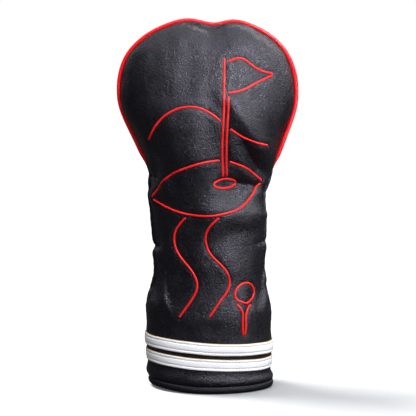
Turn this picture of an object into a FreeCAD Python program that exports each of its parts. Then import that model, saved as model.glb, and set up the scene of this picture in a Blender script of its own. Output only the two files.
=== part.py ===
"""Padded leather driver head cover, modelled as the sewn assembly that it is.

Millimetres. +Z is up, from the open hem to the crown. The decorated front panel faces -Y, and +X
is to the right as seen from there. The origin is the centre of the open hem, on the surface that
the cover stands on.

The cover is a stack of layers. Every layer face is one loft through ellipses, and its depth is
counted inwards from the outer face of the leather, so that neighbouring pieces meet face to face.
"""
import FreeCAD, Part  # noqa: E401
import math
import os

Vector = FreeCAD.Vector

# Driving dimensions: name -> value in millimetres, or a plain number where the comment says so.
SIZES = {
    "leather_gauge": 1.2,       # outer panels
    "backing_gauge": 0.3,       # stabiliser sheet behind the embroidery
    "foam_gauge": 3.0,          # padding
    "elastic_gauge": 0.9,       # woven elastic at the waist
    "lining_ease": 1.4,         # loose space between padding and lining, which holds the elastic
    "fleece_gauge": 2.0,        # lining
    "trim_gauge": 1.1,          # stripes and hem binding
    "crown_level": 266.0,       # height of the widest section of the head
    "crown_height": 62.0,       # from there to the top of the leather
    "crown_half_width": 76.7,
    "crown_half_depth": 45.5,
    "crown_power": 2.4,         # squareness of the crown's outline, 2 is an ellipse
    "crown_taper": 1.05,        # how fast the crown thins towards the seam, a plain number
    "seam_start": 190.0,        # height where the piped seam of the head begins
    "flange_gauge": 1.2,        # folded flange of the piping, sewn between the panels
    "bead_radius": 1.7,         # piping
    "cord_radius": 1.0,         # bore that the piping's filler cord lies in
    "cord_gap": 0.01,           # from the filler cord to that bore
    "piping_gap": 0.02,         # from the bead to the leather
    "piping_run": 5.0,          # spacing of the points that the piping is traced through
    "outline_points": 1200,     # points that a seam's outline is first read at, a plain number
    "stripe_width": 10.6,
    "lower_stripe_level": 21.0,
    "upper_stripe_level": 35.2,
    "joint_gap": 0.3,           # butt joint of each stripe at the back
    "binding_outside": 6.0,     # height of the hem binding's outer leg
    "binding_inside": 9.0,      # height of its inner leg
    "elastic_level": 101.0,     # lower edge of the elastic
    "elastic_width": 25.0,
    "backing_half_width": 56.0,
    "backing_low": 48.0,
    "backing_high": 302.0,
    "thread_radius": 0.22,
    "thread_lift": 0.03,        # from a stitch to the surface that it lies on
    "stitch_pitch": 3.0,
    "stitch_share": 0.72,       # visible share of each stitch's pitch, a plain number
    "stitch_inset": 1.5,        # row to edge
    "satin_radius": 0.85,       # half width of the embroidered line
    "satin_lift": 0.15,         # its clearance from the leather
    "satin_pitch": 4.0,         # spacing of the points that it is traced through
    "satin_joint": 0.05,        # share of the last run left open where a line meets its own start
    "ring_runs": 24,            # straight runs in an embroidered ring, a plain number
    "least_bend": 2.0,          # smallest turn that gets a mitre, in degrees
    "reach": 120.0,             # half size of the cutting boxes
    "tall": 400.0,              # height of the cutting boxes
}

# Level, half width and half depth of the leather, from the hem up to the start of the crown.
BODY_STATIONS = [
    (0.0, 54.6, 40.4),
    (14.0, 55.2, 40.8),
    (30.0, 55.4, 41.0),
    (48.0, 55.2, 40.7),
    (66.0, 54.8, 40.3),
    (82.0, 53.0, 39.0),
    (98.0, 49.4, 36.6),
    (116.0, 48.8, 36.1),
    (136.0, 49.6, 36.8),
    (160.0, 51.4, 38.2),
    (184.0, 54.0, 39.6),
    (204.0, 58.4, 41.4),
    (224.0, 65.6, 43.6),
    (245.0, 73.6, 45.2),
]
CROWN_ANGLES = (0, 20, 40, 58, 72, 82, 87)

# Depth of each layer face below the outer face of the leather.
LAYER_DEPTHS = {
    "trim_face": "-Sizes.trim_gauge",
    "leather_face": "0 * Sizes.leather_gauge",
    "leather_back": "Sizes.leather_gauge",
    "padding_face": "Sizes.leather_gauge + Sizes.backing_gauge",
    "padding_back": "Sizes.leather_gauge + Sizes.backing_gauge + Sizes.foam_gauge",
    "elastic_back": "Sizes.leather_gauge + Sizes.backing_gauge + Sizes.foam_gauge"
                    " + Sizes.elastic_gauge",
    "lining_face": "Sizes.leather_gauge + Sizes.backing_gauge + Sizes.foam_gauge"
                   " + Sizes.lining_ease",
    "lining_back": "Sizes.leather_gauge + Sizes.backing_gauge + Sizes.foam_gauge"
                   " + Sizes.lining_ease + Sizes.fleece_gauge",
    "binding_back": "Sizes.leather_gauge + Sizes.backing_gauge + Sizes.foam_gauge"
                    " + Sizes.lining_ease + Sizes.fleece_gauge + Sizes.trim_gauge",
}


def ring_outline(centre, half_width, half_height):
    """A full ellipse on the panel, as (x, z) points that end where they start."""
    runs = SIZES["ring_runs"]
    turns = [2 * math.pi * i / runs for i in range(runs + 1)]
    return [(centre[0] + half_width * math.cos(a), centre[1] + half_height * math.sin(a))
            for a in turns]


# The embroidered scene: (x, z) points of each line on the front panel. Each is a smooth curve.
MOTIF = {
    "motif_flag": [
        [(20.8, 291.4), (31.0, 294.0), (44.0, 286.0), (58.5, 281.0)],
        [(58.0, 279.4), (45.0, 273.0), (34.0, 267.0), (20.8, 263.6)],
    ],
    "motif_flagstick": [
        [(17.2, 190.5), (17.2, 225.0), (17.2, 260.0), (17.2, 294.6)],
        [(20.8, 190.5), (20.8, 225.0), (20.8, 260.4)],
    ],
    "motif_cup": [ring_outline((19.0, 184.5), 10.5, 3.4)],
    "motif_far_hill": [
        [(-50.0, 223.0), (-37.0, 242.0), (-15.0, 252.0), (4.0, 248.0), (14.6, 240.5)],
        [(23.4, 233.0), (37.0, 224.0), (51.0, 219.5)],
    ],
    "motif_green": [
        [(-46.5, 172.5), (-33.0, 190.0), (-12.0, 201.0), (2.0, 204.0), (14.6, 204.0)],
        [(23.4, 203.0), (37.0, 198.0), (48.5, 187.0)],
        [(48.0, 184.6), (34.0, 168.0), (13.0, 159.5), (-10.0, 158.0), (-30.0, 162.5),
         (-45.5, 170.2)],
    ],
    "motif_fairway": [
        [(-17.0, 155.6), (-27.0, 141.0), (-24.0, 124.0), (-11.0, 109.0), (-6.0, 94.0),
         (-13.0, 79.0), (-22.0, 66.0)],
        [(12.0, 156.6), (1.5, 142.0), (4.0, 126.0), (15.5, 112.0), (20.0, 97.0),
         (13.5, 82.0), (5.0, 68.0)],
    ],
    "motif_ball": [ring_outline((33.0, 88.6), 8.6, 8.6)],
    "motif_tee": [
        [(26.6, 78.6), (30.2, 74.6), (31.4, 67.0), (32.2, 54.0)],
        [(39.4, 78.6), (35.8, 74.6), (34.6, 67.0), (33.8, 54.0)],
    ],
}

doc = FreeCAD.newDocument("DriverHeadCover")
sheet = doc.addObject("Spreadsheet::Sheet", "Sizes")


def fill_sheet():
    """Writes every driving dimension into the sheet, one aliased cell each."""
    cells = dict(SIZES)
    for i, (level, half_width, half_depth) in enumerate(BODY_STATIONS):
        cells[f"level_{i}"] = level
        cells[f"half_width_{i}"] = half_width
        cells[f"half_depth_{i}"] = half_depth
    for row, (alias, value) in enumerate(cells.items(), start=1):
        sheet.set(f"A{row}", alias)
        sheet.set(f"B{row}", str(value))
        sheet.setAlias(f"B{row}", alias)
    doc.recompute()


def size(alias):
    """A driving dimension as a plain number."""
    return float(getattr(sheet, alias))


def bind(item, **expressions):
    """Binds properties to sheet cells. Keys x, y and z are the placement's position."""
    for name, expression in expressions.items():
        path = f".Placement.Base.{name}" if name in "xyz" else name
        item.setExpression(path, expression)
    return item


def section(name, half_width, half_depth, level):
    """One elliptical section of a layer face, bound to the sheet."""
    ring = doc.addObject("Part::Ellipse", name)
    return bind(ring, MajorRadius=half_width, MinorRadius=half_depth, z=level)


def layer_face(name, depth):
    """The closed solid inside one layer face: a loft through the body and the crown."""
    rings = []
    for i in range(len(BODY_STATIONS)):
        rings.append(section(f"{name}_body_{i}", f"Sizes.half_width_{i} - ({depth})",
                             f"Sizes.half_depth_{i} - ({depth})", f"Sizes.level_{i}"))
    for angle in CROWN_ANGLES:
        rings.append(section(
            f"{name}_crown_{angle}",
            f"(Sizes.crown_half_width - ({depth})) * cos({angle})^(2 / Sizes.crown_power)",
            f"(Sizes.crown_half_depth - ({depth})) * cos({angle})^Sizes.crown_taper",
            f"Sizes.crown_level + (Sizes.crown_height - ({depth}))"
            f" * sin({angle})^(2 / Sizes.crown_power)"))
    loft = doc.addObject("Part::Loft", name)
    loft.Sections = rings
    loft.Solid = True
    loft.Ruled = False
    return loft


def box(name, length, width, height, **place):
    """A cutting box. Sizes and place are expressions."""
    block = doc.addObject("Part::Box", name)
    return bind(block, Length=length, Width=width, Height=height, **place)


def combine(kind, name, base, tool):
    """A boolean: kind is Cut, Common or Fuse."""
    item = doc.addObject(f"Part::{kind}", name)
    item.Base = base
    item.Tool = tool
    item.Label = name
    return item


def slab(name, low, height):
    """A wide flat box that cuts out the heights from low to low + height."""
    return box(name, "2 * Sizes.reach", "2 * Sizes.reach", height,
               x="-Sizes.reach", y="-Sizes.reach", z=low)


def make_tools():
    """The boxes that split the layers into pieces."""
    whole = "2 * Sizes.reach"
    return {
        "front_half": box("front_half", whole, "Sizes.reach", "Sizes.tall",
                          x="-Sizes.reach", y="-Sizes.reach", z="Sizes.trim_gauge"),
        "back_half": box("back_half", whole, "Sizes.reach", "Sizes.tall",
                         x="-Sizes.reach", y="0 * Sizes.reach", z="Sizes.trim_gauge"),
        "flange_slot": box("flange_slot", whole, "Sizes.flange_gauge", "Sizes.tall",
                           x="-Sizes.reach", y="-Sizes.flange_gauge / 2", z="Sizes.seam_start"),
        "backing_window": box("backing_window", "2 * Sizes.backing_half_width", "Sizes.reach",
                              "Sizes.backing_high - Sizes.backing_low",
                              x="-Sizes.backing_half_width", y="-Sizes.reach",
                              z="Sizes.backing_low"),
        "elastic_window": box("elastic_window", whole, "Sizes.reach", "Sizes.elastic_width",
                              x="-Sizes.reach", y="0 * Sizes.reach", z="Sizes.elastic_level"),
        "joint_slot": box("joint_slot", "Sizes.joint_gap", "Sizes.reach", "Sizes.tall",
                          x="-Sizes.joint_gap / 2", y="0 * Sizes.reach", z="0 * Sizes.reach"),
    }


def layer_piece(name, shell, half, slot=None):
    """One half of a layer, with room for the piping's flange where a slot is given."""
    if slot is None:
        return combine("Common", name, shell, half)
    whole_half = combine("Common", f"{name}_blank", shell, half)
    return combine("Cut", name, whole_half, slot)


def outline(face, low, pitch):
    """Points along a layer face in the seam plane, from the right side over the crown."""
    wire = face.Shape.slice(Vector(0, 1, 0), 0)[0]
    middle = size("crown_level") - size("crown_height") / 2
    found = [p for p in wire.discretize(Number=round(size("outline_points"))) if p.z > low]
    found.sort(key=lambda p: (math.atan2(p.z - middle, p.x) + math.pi / 2) % (2 * math.pi))
    return Part.makePolygon(found).discretize(Distance=pitch)


def pushed_out(points, distance, middle):
    """Planar points moved outwards, away from middle, at right angles to their own line."""
    moved = []
    for i, point in enumerate(points):
        along = points[min(i + 1, len(points) - 1)] - points[max(i - 1, 0)]
        out = Vector(along.z, 0, -along.x).normalize()
        if out.dot(point - middle) < 0:
            out = out * -1
        moved.append(point + out * distance)
    return moved


def tube(points, radius):
    """A round cord along straight runs with mitred bends."""
    path = Part.makePolygon(points)
    start = points[1] - points[0]
    ring = Part.Wire([Part.makeCircle(radius, points[0], start)])
    make_solid, is_frenet, mitred = True, False, 1
    return path.makePipeShell([ring], make_solid, is_frenet, mitred)


def feature(name, shape):
    """A piece whose shape is worked out from the sheet's values in this file."""
    item = doc.addObject("Part::Feature", name)
    item.Shape = shape
    item.Label = name
    return item


def make_piping(faces, tools):
    """The piping: a cover with a sewn-in flange, and the filler cord inside it."""
    middle = Vector(0, 0, size("crown_level") - size("crown_height") / 2)
    seam = outline(faces["leather_face"], size("seam_start"), size("piping_run"))
    points = pushed_out(seam, size("bead_radius") + size("piping_gap"), middle)
    bead = feature("piping_bead", tube(points, size("bead_radius")))
    core = feature("piping_bore", tube(points, size("cord_radius")))
    band = combine("Cut", "flange_band", faces["trim_face"], faces["padding_back"])
    flange = combine("Common", "piping_flange", band, tools["flange_slot"])
    cover = combine("Fuse", "piping_blank", bead, flange)
    feature("piping_cord", tube(points, size("cord_radius") - size("cord_gap")))
    combine("Cut", "piping_cover", cover, core)


def stitch(start, end, out, radius):
    """One visible stitch from start towards end, lying on a surface whose outward side is out."""
    lift = out * (radius + size("thread_lift"))
    along = (end - start) * size("stitch_share")
    return Part.makeCylinder(radius, along.Length, start + lift, along)


def ring_stitches(face, levels):
    """Rows of stitches around a layer face, at these heights."""
    made = []
    radius = size("thread_radius")
    for level in levels:
        wire = face.Shape.slice(Vector(0, 0, 1), level)[0]
        count = round(wire.Length / size("stitch_pitch"))
        points = wire.discretize(Number=count + 1)
        for start, end in zip(points, points[1:]):
            out = (end - start).cross(Vector(0, 0, 1)).normalize()
            if out.dot(start) < 0:
                out = out * -1
            made.append(stitch(start, end, out, radius))
    return Part.makeCompound(made)


def seam_stitches(points):
    """Stitches end to end along points that lie a thread's radius clear of their neighbours."""
    radius = size("thread_radius")
    made = []
    for start, end in zip(points, points[1:]):
        along = (end - start) * size("stitch_share")
        made.append(Part.makeCylinder(radius, along.Length, start, along))
    return made


def make_inner_seams(faces):
    """The seam threads, which lie in the space between the padding and the lining."""
    middle = Vector(0, 0, size("crown_level") - size("crown_height") / 2)
    inset = -2 * size("thread_radius")
    pitch = size("stitch_pitch")
    head = outline(faces["padding_back"], size("seam_start") + pitch, pitch)
    feature("head_seam_stitching", Part.makeCompound(seam_stitches(
        pushed_out(head, inset, middle))))
    side = [p for p in outline(faces["padding_back"], 0, pitch) if p.x > 0
            and size("elastic_level") + size("elastic_width") < p.z < size("seam_start")]
    right = [Vector(p.x + inset, 0, p.z) for p in side]
    left = [Vector(-p.x, 0, p.z) for p in right]
    feature("side_seam_stitching", Part.makeCompound(seam_stitches(right) + seam_stitches(left)))
    low = size("elastic_level") + size("stitch_inset")
    high = size("elastic_level") + size("elastic_width") - size("stitch_inset")
    rows = ring_stitches(faces["lining_face"], (low, high))
    near = [s for s in rows.Solids if s.CenterOfMass.y > 2 * size("stitch_pitch")]
    feature("elastic_stitching", Part.makeCompound(near))


def on_front(surface, x, z):
    """The point of the front panel's outer surface at x and z, and the outward normal there."""
    probe = Part.Line(Vector(x, -size("reach"), z), Vector(x, 0, z))
    hits = probe.intersect(surface)[0]
    point = min((Vector(p.X, p.Y, p.Z) for p in hits), key=lambda p: p.y)
    normal = surface.normal(*surface.parameter(point))
    return point, normal if normal.y < 0 else normal * -1


def bends_only(points):
    """The points without those where the line hardly turns, because a mitre needs a bend."""
    kept = [points[0]]
    for point, after in zip(points[1:], points[2:]):
        turn = (point - kept[-1]).getAngle(after - point)
        if math.degrees(turn) > size("least_bend"):
            kept.append(point)
    return kept + [points[-1]]


def satin_line(face, line):
    """One embroidered line: a round cord that lies on the front panel."""
    surface = max(face.Shape.Faces, key=lambda f: f.Area).Surface
    curve = Part.BSplineCurve()
    curve.interpolate([Vector(x, 0, z) for x, z in line])
    edge = curve.toShape()
    count = max(3, math.ceil(edge.Length / size("satin_pitch")) + 1)
    points = []
    for flat in edge.discretize(Number=count):
        point, normal = on_front(surface, flat.x, flat.z)
        points.append(point + normal * (size("satin_radius") + size("satin_lift")))
    if (points[0] - points[-1]).Length < size("satin_radius"):
        points[-1] = points[-1] + (points[-2] - points[-1]) * size("satin_joint")
    return tube(bends_only(points), size("satin_radius"))


def make_pieces():
    """Builds every named piece of the cover and returns the names in order."""
    faces = {name: layer_face(name, depth) for name, depth in LAYER_DEPTHS.items()}
    tools = make_tools()
    doc.recompute()

    leather = combine("Cut", "leather_shell", faces["leather_face"], faces["leather_back"])
    layer_piece("front_panel", leather, tools["front_half"], tools["flange_slot"])
    layer_piece("back_panel", leather, tools["back_half"], tools["flange_slot"])

    padding = combine("Cut", "padding_shell", faces["padding_face"], faces["padding_back"])
    layer_piece("front_padding", padding, tools["front_half"], tools["flange_slot"])
    layer_piece("back_padding", padding, tools["back_half"], tools["flange_slot"])

    lining = combine("Cut", "lining_shell", faces["lining_face"], faces["lining_back"])
    layer_piece("front_lining", lining, tools["front_half"])
    layer_piece("back_lining", lining, tools["back_half"])

    backing = combine("Cut", "backing_shell", faces["leather_back"], faces["padding_face"])
    combine("Common", "embroidery_backing", backing, tools["backing_window"])
    elastic = combine("Cut", "elastic_shell", faces["padding_back"], faces["elastic_back"])
    combine("Common", "neck_elastic", elastic, tools["elastic_window"])

    trim = combine("Cut", "trim_shell", faces["trim_face"], faces["leather_face"])
    stripe_rows = {}
    for name in ("upper_stripe", "lower_stripe"):
        level = f"Sizes.{name}_level"
        loop = combine("Common", f"{name}_loop", trim, slab(f"{name}_slab", level,
                                                            "Sizes.stripe_width"))
        combine("Cut", name, loop, tools["joint_slot"])
        low = size(f"{name}_level") + size("stitch_inset")
        high = size(f"{name}_level") + size("stripe_width") - size("stitch_inset")
        stripe_rows[name] = (low, high)

    outer_leg = combine("Common", "binding_outer_leg", trim,
                        slab("outer_leg_slab", "0 * Sizes.reach", "Sizes.binding_outside"))
    inner_wall = combine("Cut", "binding_inner_wall", faces["lining_back"], faces["binding_back"])
    inner_leg = combine("Common", "binding_inner_leg", inner_wall,
                        slab("inner_leg_slab", "0 * Sizes.reach", "Sizes.binding_inside"))
    fold_wall = combine("Cut", "binding_fold_wall", faces["trim_face"], faces["binding_back"])
    fold = combine("Common", "binding_fold", fold_wall,
                   slab("fold_slab", "0 * Sizes.reach", "Sizes.trim_gauge"))
    legs = combine("Fuse", "binding_legs", outer_leg, inner_leg)
    combine("Fuse", "hem_binding", legs, fold)
    doc.recompute()

    make_piping(faces, tools)
    for name, levels in stripe_rows.items():
        feature(f"{name}_stitching", ring_stitches(faces["trim_face"], levels))
    hem_row = size("binding_outside") - size("stitch_inset")
    feature("hem_stitching", ring_stitches(faces["trim_face"], (hem_row,)))
    make_inner_seams(faces)
    for name, lines in MOTIF.items():
        feature(name, Part.makeCompound([satin_line(faces["leather_face"], s) for s in lines]))
    doc.recompute()


PIECES = [
    "front_panel", "back_panel", "piping_cover", "piping_cord", "front_padding", "back_padding",
    "front_lining", "back_lining", "embroidery_backing", "neck_elastic", "upper_stripe",
    "lower_stripe", "hem_binding", "upper_stripe_stitching", "lower_stripe_stitching",
    "hem_stitching", "head_seam_stitching", "side_seam_stitching", "elastic_stitching",
    *MOTIF,
]


def check_document():
    """Stops if any object failed to recompute or any piece has no sound solid."""
    for item in doc.Objects:
        if {"Invalid", "Error"} & set(item.State):
            raise SystemExit(f"{item.Name} failed: {item.State}")
    for name in PIECES:
        shape = doc.getObjectsByLabel(name)[0].Shape
        if shape.isNull() or not shape.isValid() or not shape.Solids:
            raise SystemExit(f"{name} has no valid solid")


def export_pieces():
    """Writes each piece to parts/NAME.step."""
    os.makedirs("parts", exist_ok=True)
    for name in PIECES:
        shape = doc.getObjectsByLabel(name)[0].Shape
        shape.exportStep(os.path.join("parts", f"{name}.step"))
        bounds = shape.BoundBox
        print(f"{name:24s} solids {len(shape.Solids):4d}  volume {shape.Volume:10.1f}"
              f"  z {bounds.ZMin:6.1f} to {bounds.ZMax:6.1f}")


fill_sheet()
make_pieces()
check_document()
export_pieces()
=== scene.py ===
"""The looks of a padded driver head cover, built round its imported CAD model.

Shapes are worked out in millimetres and become metres when a mesh is made. The outer skin is one
grid: its rows climb from the hem to the crown, and its columns run from the right seam over the
front panel to the left seam, and on over the back panel to the right seam again. Every other
piece is placed on that skin, so they all share its folds.
"""
import math

import bmesh
import bpy
import numpy as np
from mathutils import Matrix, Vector, kdtree, noise


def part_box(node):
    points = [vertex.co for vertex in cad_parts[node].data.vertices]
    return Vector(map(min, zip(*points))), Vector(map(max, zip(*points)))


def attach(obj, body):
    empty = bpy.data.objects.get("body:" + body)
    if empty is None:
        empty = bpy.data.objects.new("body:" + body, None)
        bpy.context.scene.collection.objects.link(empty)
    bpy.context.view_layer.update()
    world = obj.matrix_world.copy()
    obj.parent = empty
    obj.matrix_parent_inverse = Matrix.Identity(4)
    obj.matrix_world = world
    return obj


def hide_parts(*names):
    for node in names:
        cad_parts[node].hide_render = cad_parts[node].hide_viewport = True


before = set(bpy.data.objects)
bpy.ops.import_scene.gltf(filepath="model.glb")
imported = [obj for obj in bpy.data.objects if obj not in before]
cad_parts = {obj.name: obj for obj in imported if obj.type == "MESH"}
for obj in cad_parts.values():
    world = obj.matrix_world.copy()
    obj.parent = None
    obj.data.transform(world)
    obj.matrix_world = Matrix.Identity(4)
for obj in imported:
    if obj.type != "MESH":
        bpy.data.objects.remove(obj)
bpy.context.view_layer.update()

MM = 0.001
BODY = "root"
FRONT, BACK = -1, 1

# The skin's grid.
COLUMNS = 288              # round the cover, both panels
HALF = COLUMNS // 2        # columns of one panel
ROW_STEP = 1.3             # mm between rows
COARSE = 3                 # the simulated and hidden layers use every third row and column
TOP_HOLE = (0.6, 0.3)      # mm, half axes of the last row, which the piping covers

# Depths below the outer face of the leather, in mm: outer face, inner face.
LEATHER = (0.0, 1.2)
STABILISER = (1.24, 1.5)
FOAM = (1.55, 4.45)
ELASTIC = (4.5, 5.3)
FLEECE = (5.9, 7.9)


# ---------------------------------------------------------------- numbers from the frame

def corners(node):
    """Lowest and highest corner of a CAD node, in mm."""
    low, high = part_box(node)
    return np.array(low) / MM, np.array(high) / MM


def heights(node):
    """Lowest and highest point of a CAD node, in mm."""
    low, high = corners(node)
    return low[2], high[2]


SEAM_START = heights("piping_cover")[0]             # where the piped seam of the head begins
TOP = heights("front_panel")[1]
STRIPES = {name: heights(name) for name in ("lower_stripe", "upper_stripe")}
WAIST = heights("neck_elastic")
WIDEST = 266.0                                      # mm, height of the head's widest section
LOWEST_CUT = 1.3                                    # mm, the lowest section taken of the panels


def cad_edges():
    """Both ends of every edge of the two CAD panels, in mm."""
    ends = []
    for name in ("front_panel", "back_panel"):
        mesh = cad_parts[name].data
        points = np.empty(len(mesh.vertices) * 3)
        mesh.vertices.foreach_get("co", points)
        pairs = np.empty(len(mesh.edges) * 2, int)
        mesh.edges.foreach_get("vertices", pairs)
        ends.append(points.reshape(-1, 3)[pairs.reshape(-1, 2)] / MM)
    joined = np.concatenate(ends)
    rising = joined[:, 1, 2] - joined[:, 0, 2]
    return joined[np.abs(rising) > 1e-4]


def cad_section(edges, level):
    """Half width and half depth of the CAD panels at one height."""
    start, end = edges[:, 0], edges[:, 1]
    crossing = (start[:, 2] - level) * (end[:, 2] - level) <= 0
    start, end = start[crossing], end[crossing]
    share = (level - start[:, 2]) / (end[:, 2] - start[:, 2])
    hits = start + share[:, None] * (end - start)
    return np.abs(hits[:, 0]).max(), np.abs(hits[:, 1]).max()


def smoothed(values, times, axis=0, wrap=False):
    """Values blurred along an axis by 1-2-1, a number of times."""
    line = np.moveaxis(values, axis, 0)
    for _ in range(times):
        before = np.concatenate([line[-1:] if wrap else line[:1], line[:-1]])
        after = np.concatenate([line[1:], line[:1] if wrap else line[-1:]])
        line = (before + 2 * line + after) / 4
    return np.moveaxis(line, 0, axis)


def base_rows():
    """Half width, half depth and height of every row, evenly spaced along the meridian."""
    edges = cad_edges()
    body = np.linspace(LOWEST_CUT, WIDEST, 110)
    rise = 1 - (1 - np.linspace(0, 1, 60)) ** 2
    crown = WIDEST + (TOP - 0.05 - WIDEST) * rise
    cuts = np.concatenate([body, crown[1:]])
    wide, deep = np.array([cad_section(edges, level) for level in cuts]).T
    levels = np.concatenate([[0], cuts, [TOP]])
    wide = np.concatenate([wide[:1], wide, [TOP_HOLE[0]]])
    deep = np.concatenate([deep[:1], deep, [TOP_HOLE[1]]])
    runs = np.hypot(np.diff(levels), np.diff((wide + deep) / 2))
    along = np.concatenate([[0], np.cumsum(runs)])
    even = np.linspace(0, along[-1], round(along[-1] / ROW_STEP / COARSE) * COARSE + 1)
    return [np.interp(even, along, values) for values in (wide, deep, levels)]


HALF_WIDTH, HALF_DEPTH, LEVEL = base_rows()
ROWS = len(LEVEL)
TURN = np.arange(COLUMNS + 1) * 2 * math.pi / COLUMNS


def row_of(level):
    """Row position, with its fraction, of a height."""
    return np.interp(level, LEVEL, np.arange(ROWS))


def ramp(value, low, high):
    """0 below low, 1 above high and smooth between."""
    share = np.clip((value - low) / (high - low), 0, 1)
    return share * share * (3 - 2 * share)


def round_turn(count):
    """Angles spread evenly round one turn, in radians."""
    return np.arange(count) * 2 * math.pi / count


def bell(value, centre, reach):
    """1 at the centre, falling off over reach."""
    return np.exp(-((value - centre) / reach) ** 2)


def noise_of(points, size, seed):
    """Smooth noise from about -1 to 1 at points in mm, with features of that size."""
    flat = points.reshape(-1, 3) / size + seed * 17.3
    values = [noise.noise(Vector(p)) for p in flat]
    return np.array(values).reshape(points.shape[:-1])


def lengths_along(points):
    """Distance along a polyline to each of its points."""
    runs = np.linalg.norm(np.diff(points, axis=0), axis=1)
    return np.concatenate([[0], np.cumsum(runs)])


def closed(ring):
    """A grid whose first column is repeated after its last."""
    return np.concatenate([ring, ring[:, :1]], 1)


def quads(index):
    """Faces between the neighbours in a grid of point numbers."""
    sides = index[:-1, :-1], index[:-1, 1:], index[1:, 1:], index[1:, :-1]
    return np.stack([side.ravel() for side in sides], 1).tolist()


def curve_line(*knots):
    """A smooth line through its knots: a natural cubic spline, as (x, z) points."""
    knots = np.array(knots, float)
    place = lengths_along(knots)
    runs = np.diff(place)
    count = len(knots)
    system = np.eye(count)
    right = np.zeros((count, 2))
    for i in range(1, count - 1):
        system[i, i - 1:i + 2] = runs[i - 1], 2 * (runs[i - 1] + runs[i]), runs[i]
        right[i] = 6 * ((knots[i + 1] - knots[i]) / runs[i] - (knots[i] - knots[i - 1]) / runs[i - 1])
    bend = np.linalg.solve(system, right)
    at = np.linspace(0, place[-1], max(8, round(place[-1] / 1.5)))
    k = np.clip(np.searchsorted(place, at) - 1, 0, count - 2)
    run, left, rest = runs[k][:, None], (at - place[k])[:, None], (place[k + 1] - at)[:, None]
    return (bend[k] * rest ** 3 + bend[k + 1] * left ** 3) / (6 * run) + (
        knots[k] / run - bend[k] * run / 6) * rest + (
        knots[k + 1] / run - bend[k + 1] * run / 6) * left


# ---------------------------------------------------------------- the skin

# Folds of the leather, in mm. Each has the (x, z) knots of its line, its reach to the left and
# to the right of that line, its height (below zero it sinks), and how round it is: 1 is a sharp
# crease, 2 a soft one. A line's left is told from its first knot to its last, from the front.
FRONT_FOLDS = [
    # the drag lines from the middle of the head down to the right end of the piping
    ([(40, 160), (30, 180), (21, 199), (14, 216), (9, 234), (8, 252)], 13, 16, -6.0, 2),
    ([(61, 190), (53, 208), (46, 222), (36, 237), (25, 251), (13, 264), (2, 277)],
     7, 10, 4.2, 2),
    ([(55, 184), (48, 196), (41, 208), (34, 221), (27, 233)], 5.5, 4, -4.6, 1.6),
    ([(-32, 166), (-26, 196), (-18, 228)], 10, 20, 3.2, 2),
    ([(6, 186), (24, 184), (40, 182), (58, 179)], 5, 4, -4.6, 1.5),
    ([(-14, 157), (12, 160), (34, 157), (60, 147)], 10, 17, 5.6, 2),
    ([(14, 146), (32, 143), (48, 146)], 6, 6, -1.2, 2),
    ([(50, 150), (54, 160), (54, 170)], 6, 5, 1.2, 2),
    # the left side of the neck
    ([(-45, 174), (-47, 196), (-52, 216)], 8, 9, -3.2, 2),
    ([(-52, 161), (-50, 170), (-49, 178)], 6, 6, 0.9, 2),
    ([(-28, 166), (-36, 184), (-43, 202)], 7, 7, 1.2, 2),
    ([(-60, 194), (-52, 190), (-42, 189)], 2.8, 2.6, -2.0, 1.3),
    ([(-20, 170), (-28, 190), (-32, 206)], 6, 6, -1.2, 2),
    # waist
    ([(-58, 125), (-48, 127), (-38, 131)], 3.6, 3.6, -3.0, 1.4),
    ([(-56, 119), (-45, 121), (-34, 125)], 5, 5, 1.3, 2),
    ([(-39, 100), (-42, 108), (-46, 118)], 2.2, 2.2, 0.6, 1.6),
    ([(-35, 102), (-38, 111), (-42, 121)], 3, 3, -1.2, 2),
    ([(51, 98), (49, 112), (51, 128)], 4.5, 4.5, -1.4, 2),
    ([(38, 131), (47, 132), (57, 131)], 2.4, 2.4, -1.5, 1.4),
    ([(24, 98), (19, 118), (14, 138)], 8, 9, 1.0, 2),
    ([(4, 108), (1, 126), (-3, 142)], 6, 7, -0.9, 2),
    ([(-27, 96), (-22, 120), (-21, 142)], 9, 8, -0.5, 2),
    # body
    ([(-25, 112), (0, 114), (24, 117), (45, 118), (70, 116)], 34, 32, 4.2, 2),
    ([(29, 24), (28, 60), (26, 96), (20, 140)], 34, 14, 3.6, 2),
    ([(-40, 52), (-33, 70), (-25, 90)], 12, 16, -0.9, 2),
    ([(-48, 91), (-34, 94), (-20, 99)], 6, 6, 0.4, 2),
    ([(26, 52), (24, 76), (28, 100)], 7, 8, 1.1, 2),
    ([(6, 48), (4, 66), (8, 84)], 9, 8, -0.9, 2),
    ([(45, 72), (46, 84), (50, 96)], 5, 5, -0.9, 2),
    # head
    ([(-62, 228), (-50, 246), (-40, 266)], 10, 9, 0.9, 2),
    ([(-46, 294), (-30, 300), (-14, 305)], 8, 9, 0.8, 2),
    ([(-22, 308), (-12, 310), (-1, 314)], 4, 5, -0.5, 2),
    ([(8, 300), (6, 312), (5, 324)], 9, 9, -0.5, 2),
    ([(16, 302), (30, 306), (44, 302)], 6, 7, 0.9, 2),
]
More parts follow.
